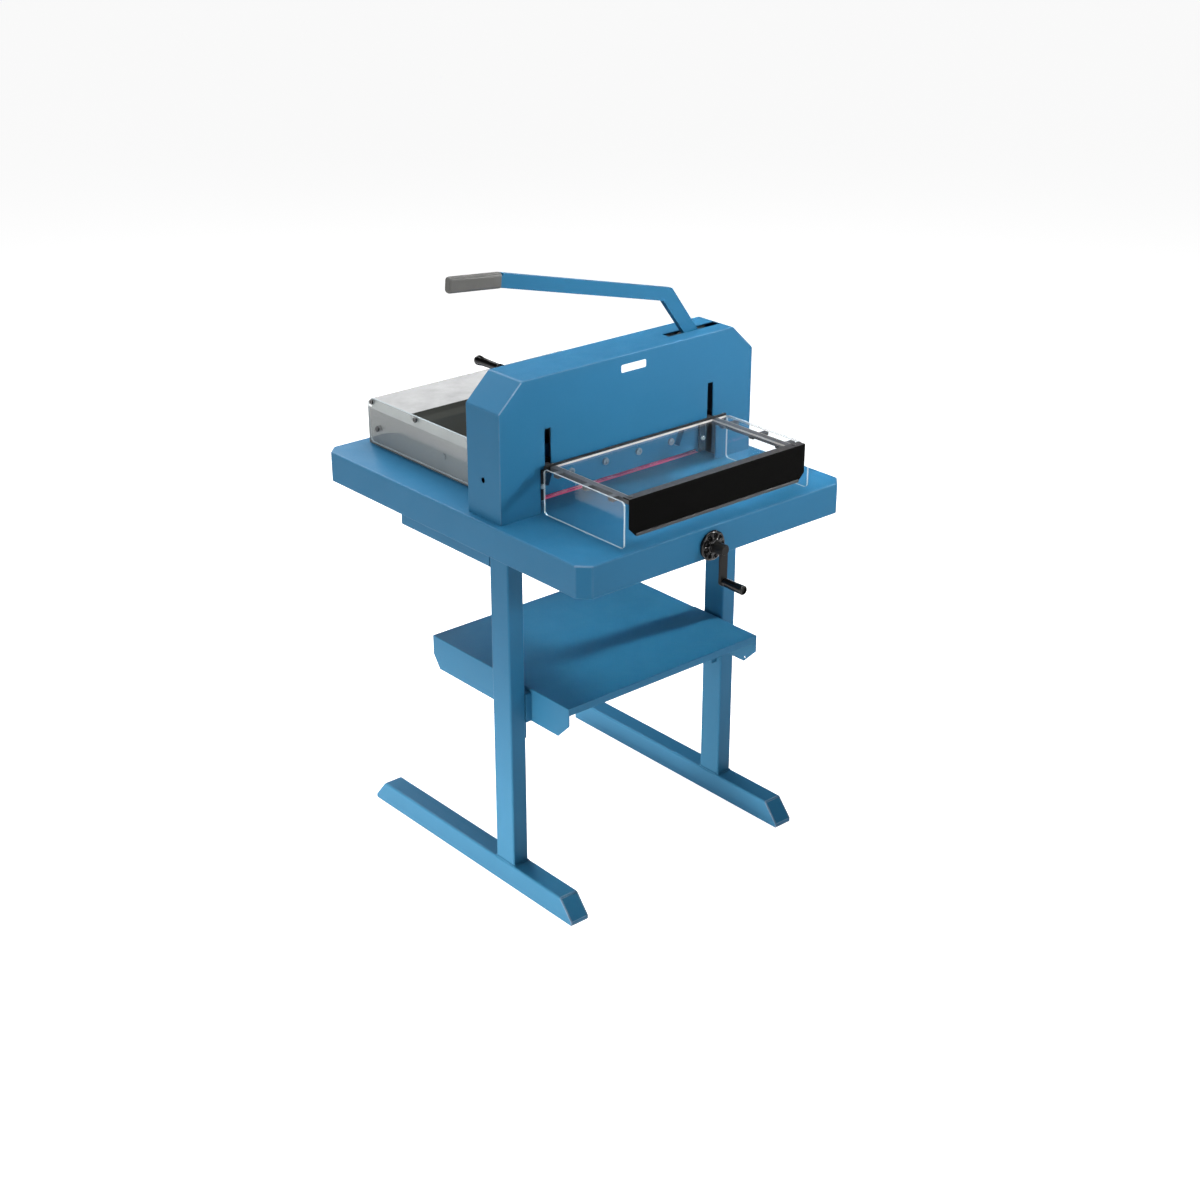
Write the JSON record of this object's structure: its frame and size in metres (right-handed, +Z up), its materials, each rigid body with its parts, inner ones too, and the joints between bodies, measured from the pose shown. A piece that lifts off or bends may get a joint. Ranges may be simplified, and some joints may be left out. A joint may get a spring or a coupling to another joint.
{
  "type": "guillotine paper cutter on stand",
  "caption": "Hand-lever guillotine paper cutter with hooded portal, clear front and rear guards, crank-driven back gauge and sliding blade, on a tube stand with a shelf.",
  "frame": {"origin": "on the floor, under the middle of the whole machine's bounding box, 28.4 mm left of the table's middle and 43.5 mm in front of it", "axes": "+X to the operator's right along the portal, +Y away from the operator to the rear of the table, +Z up"},
  "size_m": [0.717, 0.887, 1.2437],
  "materials": {
    "blue_paint": "satin powder coat",
    "blue_arm": "satin enamel",
    "black_metal": "satin",
    "steel": "brushed",
    "blade_steel": "ground",
    "cast": "rough",
    "black_plastic": "semi gloss",
    "grey_plastic": "matte",
    "light_plate": "satin",
    "acrylic": "polished",
    "red_plastic": "matte",
    "aluminium": "milled",
    "bronze": "satin",
    "zinc": "zinc plated",
    "label_white": "gloss"
  },
  "bodies": {
    "frame": {"foot_tubes": "blue_paint", "foot_end_plates": "blue_paint", "legs": "blue_paint", "top_beams": "blue_paint", "shelf_tray": "blue_paint", "shelf_brackets": "blue_paint", "shelf_bolts": "zinc", "table_plate": "blue_paint", "table_skirt": "blue_paint", "cutting_stick": "red_plastic", "side_plates": "steel", "side_plate_stops": "zinc", "hood_band": "blue_paint", "hood_front": "blue_paint", "hood_rear": "blue_paint", "label_plate": "label_white", "portal_posts": "cast", "portal_front_plate": "cast", "portal_rear_plate": "cast", "lever_shaft": "steel", "guide_blocks": "bronze", "guard_hinge_brackets": "black_metal", "guard_bracket_bolts": "zinc", "spindle_bearing": "bronze", "crank_flange": "black_plastic"},
    "blade_lever": {"lever_arm": "blue_arm", "lever_grip": "grey_plastic", "lever_crank_pin": "steel"},
    "blade_carriage": {"blade_carrier": "blue_paint", "blade": "blade_steel", "blade_bolts": "zinc"},
    "clamp": {"clamp_beam": "aluminium"},
    "clamp_lever": {"clamp_shaft": "steel", "clamp_crank": "steel", "clamp_arm": "black_metal", "clamp_grip": "black_plastic"},
    "front_guard": {"guard_rails": "grey_plastic", "guard_pins": "zinc", "guard_back_bar": "black_metal", "guard_front_bar": "black_metal", "guard_side_left": "acrylic", "guard_side_right": "acrylic", "guard_lid": "acrylic", "guard_spacers": "grey_plastic", "guard_screws": "zinc"},
    "rear_guard": {"rear_guard_sides": "acrylic", "rear_guard_pins": "zinc", "rear_guard_window": "acrylic", "rear_guard_plate": "light_plate", "rear_guard_screws": "zinc"},
    "back_gauge": {"gauge_fence": "aluminium", "gauge_carriage": "aluminium"},
    "spindle": {"spindle": "steel", "crank_arm": "black_metal"},
    "crank_handle": {"crank_grip": "black_plastic"}
  },
  "joints": [
    {"name": "blade_lever_hinge", "type": "hinge", "parent": "frame", "child": "blade_lever", "pos_m": [0.2534, -0.0665, 0.985], "axis": [0, 1, 0], "range_deg": [0, 50]},
    {"name": "blade_slide", "type": "slide", "parent": "frame", "child": "blade_carriage", "axis": [0.3752, 0, 0.9269], "range_m": [0, 0.04532]},
    {"name": "clamp_lever_hinge", "type": "hinge", "parent": "frame", "child": "clamp_lever", "pos_m": [-0.1116, -0.0265, 0.97], "axis": [0, -1, 0], "range_deg": [0, 50]},
    {"name": "clamp_slide", "type": "slide", "parent": "frame", "child": "clamp", "axis": [0, 0, -1], "range_m": [0, 0.04201]},
    {"name": "front_guard_hinge", "type": "hinge", "parent": "frame", "child": "front_guard", "pos_m": [0.0284, -0.1015, 0.868], "axis": [-1, 0, 0], "range_deg": [0, 40]},
    {"name": "rear_guard_hinge", "type": "hinge", "parent": "frame", "child": "rear_guard", "pos_m": [0.0284, 0.0035, 0.869], "axis": [1, 0, 0], "range_deg": [0, 35]},
    {"name": "spindle_turn", "type": "hinge", "parent": "frame", "child": "spindle", "pos_m": [0.0038, -0.3565, 0.743], "axis": [0, 1, 0], "range_deg": [-7380, 6300]},
    {"name": "back_gauge_slide", "type": "slide", "parent": "frame", "child": "back_gauge", "axis": [0, 1, 0], "range_m": [-0.20501, 0.17501]},
    {"name": "crank_handle_spin", "type": "hinge", "parent": "spindle", "child": "crank_handle", "pos_m": [0.0038, -0.4165, 0.681], "axis": [0, 1, 0], "continuous": true}
  ],
  "couplings": [
    {"joint": "blade_slide", "follows": "blade_lever_hinge", "m_per_rad": 0.051921},
    {"joint": "clamp_slide", "follows": "clamp_lever_hinge", "m_per_rad": 0.048128},
    {"joint": "back_gauge_slide", "follows": "spindle_turn", "m_per_rad": 0.0015915}
  ]
}
